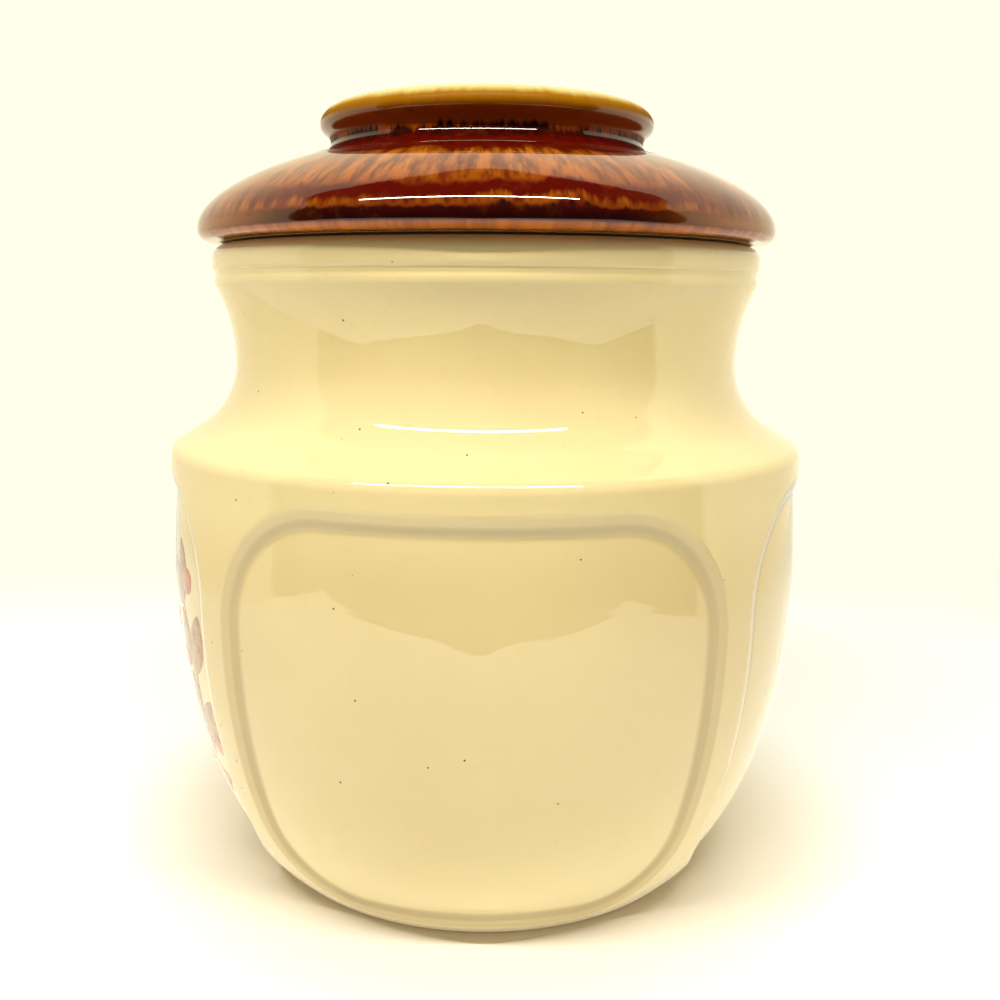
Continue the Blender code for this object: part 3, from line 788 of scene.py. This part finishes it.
# The floor
# White paper that the jar stands on. Close to the jar the camera sees it greyer, a painted contact shadow.
# Its front edge lies just behind the camera, and the glaze mirrors it. Behind the jar it fades to the tone
# of the backdrop.
FLOOR_FRONT = -425 * MM
FLOOR_BAY = 48 * MM
FLOOR_BULGE = 22 * MM
BAY_WIDTH = 52 * MM
BULGE_MIDDLE = -200 * MM
BULGE_WIDTH = 104 * MM
EDGE_STEPS = 120
SHEET_LEFT = -500 * MM
SHEET_RIGHT = 455 * MM
SHEET_BACK = 8.0
FADE_START = 180 * MM
FADE_END = 430 * MM
BACKDROP = (1.0, 1.0, 0.83, 1)
WARM_LIGHT = (1.0, 0.97, 0.83, 1)
PAINTED_SHADOW_NEAR_JAR = (0.80, 0.75, 0.70, 1)
OPEN_PAPER = (0.89, 0.91, 0.99, 1)
DULL_PAPER = (0.89, 0.88, 0.87, 1)
CLEAN_PAPER = (0.92, 0.91, 0.90, 1)
PAPER_GLOW = 0.35
floor_mesh = bpy.data.meshes.new("paper_floor")
sheet_points = [(SHEET_RIGHT, SHEET_BACK, 0), (SHEET_LEFT, SHEET_BACK, 0)]
for i in range(EDGE_STEPS + 1):
    x = SHEET_LEFT + (SHEET_RIGHT - SHEET_LEFT) * i / EDGE_STEPS
    bay = FLOOR_BAY * math.exp(-((x / BAY_WIDTH) ** 2))
    bulge = FLOOR_BULGE * math.exp(-(((x - BULGE_MIDDLE) / BULGE_WIDTH) ** 2))
    waves = 5 * MM * math.sin(31 * x + 1) + 2 * MM * math.sin(83 * x)
    sheet_points.append((x, FLOOR_FRONT + bay - bulge + waves, 0))
floor_mesh.from_pydata(sheet_points, [], [tuple(range(len(sheet_points)))])
paper_floor = bpy.data.objects.new("paper_floor", floor_mesh)
bpy.context.scene.collection.objects.link(paper_floor)
material, g, shader = new_material("white_paper")
place = g.add("ShaderNodeTexCoord").outputs["Object"]
paper = g.mix(g.noise(place, 6, 3), DULL_PAPER, CLEAN_PAPER)
shader.inputs["Roughness"].default_value = 0.8
depth = g.add("ShaderNodeSeparateXYZ", {"Vector": place}).outputs[1]
away = g.add("ShaderNodeVectorMath", {0: place}, operation="LENGTH").outputs["Value"]
path = g.add("ShaderNodeLightPath").outputs
# The camera sees the paper darker within about 150 mm of the jar: a painted contact shadow.
shown = g.mix(g.ramp(away, 88 * MM, 150 * MM), PAINTED_SHADOW_NEAR_JAR, OPEN_PAPER)
g.set(shader.inputs["Base Color"], g.mix(path["Is Diffuse Ray"], shown, paper))
shader.inputs["Emission Color"].default_value = WARM_LIGHT
glow = g.product(g.math("ADD", path["Is Diffuse Ray"], path["Is Glossy Ray"]), PAPER_GLOW)
g.set(shader.inputs["Emission Strength"], glow)
faded = g.add("ShaderNodeEmission", {"Color": BACKDROP, "Strength": 1.0})
fade = g.ramp(depth, FADE_START, FADE_END)
surface = g.add("ShaderNodeMixShader", {0: fade, 1: shader.outputs[0], 2: faded.outputs[0]})
g.set(material.node_tree.nodes["Material Output"].inputs["Surface"], surface.outputs[0])
floor_mesh.materials.append(material)

# The lamp
# A curved strip lamp hangs in front of the jar and above it. It casts the lid's shadow on the rim, and the
# glaze mirrors it as thin bright lines.
LAMP_HEIGHT = 754 * MM
LAMP_MIDDLE = Vector((-57 * MM, 1429 * MM, LAMP_HEIGHT))
LAMP_SWEEP = 1795 * MM
LAMP_START = math.radians(-102.8)
LAMP_END = math.radians(-77.3)
LAMP_HALF_WIDTH = 10 * MM
LAMP_RADIANCE = 176.0
LAMP_STEPS = 40
lamp_vertices = []
for i in range(LAMP_STEPS + 1):
    turn = LAMP_START + (LAMP_END - LAMP_START) * i / LAMP_STEPS
    at = LAMP_MIDDLE + Vector((math.cos(turn), math.sin(turn), 0.0)) * LAMP_SWEEP
    along = Vector((-math.sin(turn), math.cos(turn), 0.0))
    up = along.cross(at - Vector((0, 0, BELLY_HEIGHT))).normalized() * LAMP_HALF_WIDTH
    lamp_vertices += [at - up, at + up]
lamp_mesh = bpy.data.meshes.new("strip_lamp")
lamp_faces = [(2 * i, 2 * i + 1, 2 * i + 3, 2 * i + 2) for i in range(LAMP_STEPS)]
lamp_mesh.from_pydata(lamp_vertices, [], lamp_faces)
strip_lamp = bpy.data.objects.new("strip_lamp", lamp_mesh)
strip_lamp.visible_camera = False
bpy.context.scene.collection.objects.link(strip_lamp)
material, g, shader = new_material("lamp_tube")
shader.inputs["Base Color"].default_value = (0.8, 0.8, 0.8, 1)
shader.inputs["Emission Color"].default_value = WARM_LIGHT
shader.inputs["Emission Strength"].default_value = LAMP_RADIANCE
lamp_mesh.materials.append(material)

# The room
# White paper stands round the back and the sides. The front is open to a dim room, wider higher up, and
# the ceiling is dark. It is all in the world: the glaze mirrors it, a softer fill from the same sides
# lights the jar, and the camera sees plain pale paper.
ROOM_TURN = 3
OPENING_LOW = 78
OPENING_HIGH = 112
OPENING_TOP = 30
PAPER_TOP = 66
PAPER_TOP_BACK = 60.5
DIM_ROOM = (0.03, 0.027, 0.022, 1)
ROOM_ABOVE = (0.10, 0.08, 0.05, 1)
DARK_CEILING = (0.035, 0.03, 0.028, 1)
SIDE_LEFT = (1.32, 1.18, 0.82, 1)
SIDE_RIGHT = (1.56, 1.40, 1.0, 1)
BACK_LEFT = (1.2, 1.08, 0.74, 1)
BACK_RIGHT = (1.32, 1.2, 0.86, 1)
SOFT_LEFT = (0.80, 0.775, 0.58, 1)
SOFT_RIGHT = (0.97, 0.94, 0.71, 1)
SOFT_BACK = (1.6, 1.55, 1.17, 1)
SOFT_FRONT = (0.26, 0.25, 0.186, 1)
world = bpy.data.worlds.new("studio")
bpy.context.scene.world = world
world.use_nodes = True
g = Graph(world.node_tree)
world.node_tree.nodes.clear()
way = g.add("ShaderNodeTexCoord").outputs["Generated"]
x, y, z = g.add("ShaderNodeSeparateXYZ", {"Vector": way}).outputs
height = g.math("DEGREES", g.math("ARCSINE", z))
side = g.math("SUBTRACT", g.math("DEGREES", g.math("ARCTAN2", x, g.product(y, -1))), ROOM_TURN)
aside = g.math("ABSOLUTE", side)
opening = g.ramp(height, 30, 60, OPENING_LOW, OPENING_HIGH)
opening = g.math("ADD", opening, g.ramp(height, 58, 70, 0, OPENING_TOP))
paper = g.ramp(g.math("SUBTRACT", aside, opening), -2, 2)
paper_top = g.ramp(aside, 155, 180, PAPER_TOP, PAPER_TOP_BACK)
paper = g.product(paper, g.ramp(g.math("SUBTRACT", height, paper_top), -1, 2, 1, 0))
room = g.mix(g.ramp(height, 24, 32), DIM_ROOM, ROOM_ABOVE)
room = g.mix(g.ramp(height, 60, 66), room, DARK_CEILING)
at_sides = g.mix(g.ramp(side, -60, 60), SIDE_LEFT, SIDE_RIGHT)
at_back = g.mix(g.ramp(side, -60, 60), BACK_LEFT, BACK_RIGHT)
mirrored = g.mix(paper, room, g.mix(g.ramp(aside, 95, 130), at_sides, at_back))
fill = g.mix(g.ramp(side, -40, 40), SOFT_LEFT, SOFT_RIGHT)
fill = g.mix(g.ramp(aside, 115, 150), fill, SOFT_BACK)
fill = g.mix(paper, SOFT_FRONT, fill)
weakened = g.mix(g.ramp(height, 12, 40, 0.35, 0), fill, (0, 0, 0, 1))
fill = g.mix(g.ramp(height, -2, 8), fill, weakened)
path = g.add("ShaderNodeLightPath").outputs
light = g.mix(path["Is Diffuse Ray"], mirrored, fill)
shown = g.add("ShaderNodeBackground", {"Color": BACKDROP, "Strength": 1.0})
cast = g.add("ShaderNodeBackground", {"Color": light, "Strength": 1.0})
both = g.add("ShaderNodeMixShader", {0: path["Is Camera Ray"], 1: cast.outputs[0], 2: shown.outputs[0]})
g.add("ShaderNodeOutputWorld", {"Surface": both.outputs[0]})
bpy.context.scene.view_settings.view_transform = "Standard"
bpy.context.scene.view_settings.look = "None"

# The camera
# It looks down a little at the front panel, from a touch to the jar's right, with a slight roll.
CAMERA_DISTANCE = 355 * MM
CAMERA_HEIGHT = 180 * MM
CAMERA_SIDE = math.radians(2.5)
CAMERA_DOWN = math.radians(10.57)
CAMERA_ROLL = math.radians(0.35)
SENSOR_WIDTH = 36
LENS = 38.8
LENS_SHIFT = 0.0151
camera_data = bpy.data.cameras.new("camera")
camera_data.sensor_width = SENSOR_WIDTH
camera_data.lens = LENS
camera_data.shift_x = LENS_SHIFT
camera = bpy.data.objects.new("camera", camera_data)
camera.location = (
    CAMERA_DISTANCE * math.sin(CAMERA_SIDE),
    -CAMERA_DISTANCE * math.cos(CAMERA_SIDE),
    CAMERA_HEIGHT,
)
camera.rotation_mode = "QUATERNION"
look = Vector((-math.sin(CAMERA_SIDE), math.cos(CAMERA_SIDE), -math.tan(CAMERA_DOWN)))
camera.rotation_quaternion = look.to_track_quat("-Z", "Y") @ Quaternion((0, 0, 1), CAMERA_ROLL)
bpy.context.scene.collection.objects.link(camera)
bpy.context.scene.camera = camera
bpy.context.view_layer.update()
